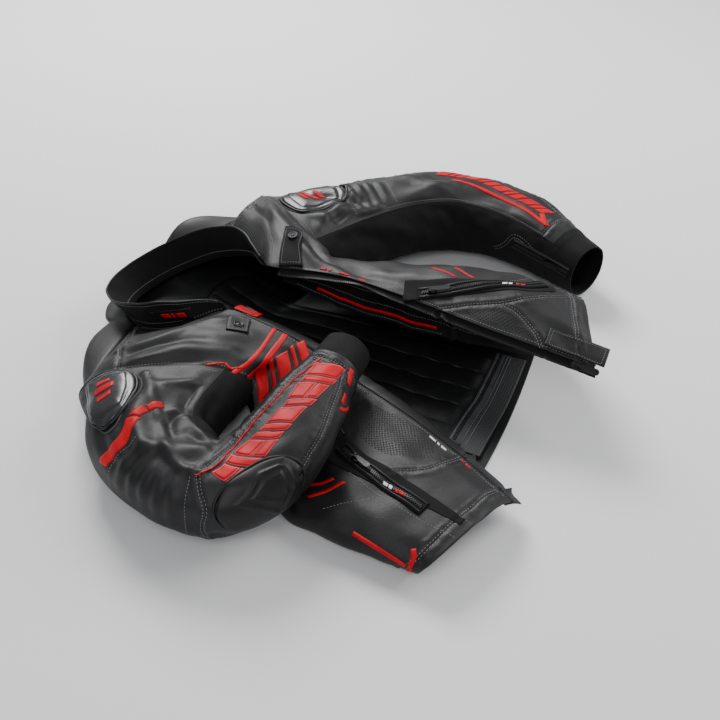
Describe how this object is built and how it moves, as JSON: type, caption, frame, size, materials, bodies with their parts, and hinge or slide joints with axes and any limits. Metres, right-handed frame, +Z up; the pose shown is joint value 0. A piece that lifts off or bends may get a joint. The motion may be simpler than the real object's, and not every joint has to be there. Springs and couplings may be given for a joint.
{
  "type": "motorcycle jacket",
  "caption": "Leather motorcycle jacket laid on its back with its front zip open, one sleeve bent over the front and one out behind, with shoulder cups, pleats and zip pockets.",
  "frame": {"origin": "bottom centre of the bounding box, on the surface the jacket lies on", "axes": "+X from the neck to the hem, +Y towards the wearer's left sleeve, +Z up"},
  "size_m": [0.7476, 0.836, 0.1492],
  "materials": {
    "leather": "soft matt black leather",
    "stretch_cloth": "matt black stretch cloth",
    "cup_rubber": "dark grey moulded rubber",
    "lining_cloth": "black lining cloth",
    "red_trim": "red trim",
    "dark_metal": "dark zip metal"
  },
  "bodies": {
    "jacket": {"back": "leather", "back_lining": "lining_cloth", "collar": "stretch_cloth", "collar_tab": "leather", "collar_tab_snap": "dark_metal", "facing_piping": "red_trim", "flap_tab": "red_trim", "hem_tab": "leather", "left_cuff": "stretch_cloth", "left_cuff_slider": "dark_metal", "left_cuff_welt": "stretch_cloth", "left_facing": "leather", "left_front": "leather", "left_pocket_slider": "dark_metal", "left_pocket_welt": "leather", "left_shoulder_cup": "cup_rubber", "left_sleeve": "leather", "left_under_sleeve": "stretch_cloth", "left_zip_tape": "stretch_cloth", "main_zip_slider": "dark_metal", "right_cuff": "stretch_cloth", "right_elbow_cup": "cup_rubber", "right_flap": "leather", "right_front": "leather", "right_pocket_slider": "dark_metal", "right_pocket_welt": "leather", "right_shoulder_cup": "cup_rubber", "right_sleeve": "leather", "right_snap": "dark_metal", "right_under_sleeve": "stretch_cloth", "right_zip_tape": "stretch_cloth", "snap_patch": "leather", "waist_zip": "stretch_cloth"},
    "left_cuff_pull": {"left_cuff_pull": "dark_metal"},
    "left_pocket_pull": {"left_pocket_pull": "dark_metal"},
    "main_zip_pull": {"main_zip_pull": "dark_metal"},
    "right_pocket_pull": {"right_pocket_pull": "dark_metal"}
  },
  "joints": [
    {"name": "left_cuff_pull_hinge", "type": "hinge", "parent": "jacket", "child": "left_cuff_pull", "pos_m": [0.21653, 0.26368, 0.0644], "axis": [-0.1556, -0.152, -0.976], "range_deg": [0, 110]},
    {"name": "left_pocket_pull_hinge", "type": "hinge", "parent": "jacket", "child": "left_pocket_pull", "pos_m": [0.12303, 0.01961, 0.14373], "axis": [0.4494, -0.8515, -0.2702], "range_deg": [0, 110]},
    {"name": "main_zip_pull_hinge", "type": "hinge", "parent": "jacket", "child": "main_zip_pull", "pos_m": [0.33633, -0.00769, 0.10871], "axis": [-0.0184, -0.863, -0.5049], "range_deg": [0, 110]},
    {"name": "right_pocket_pull_hinge", "type": "hinge", "parent": "jacket", "child": "right_pocket_pull", "pos_m": [0.12892, -0.23184, 0.05932], "axis": [-0.4324, -0.8985, -0.0759], "range_deg": [0, 110]}
  ]
}
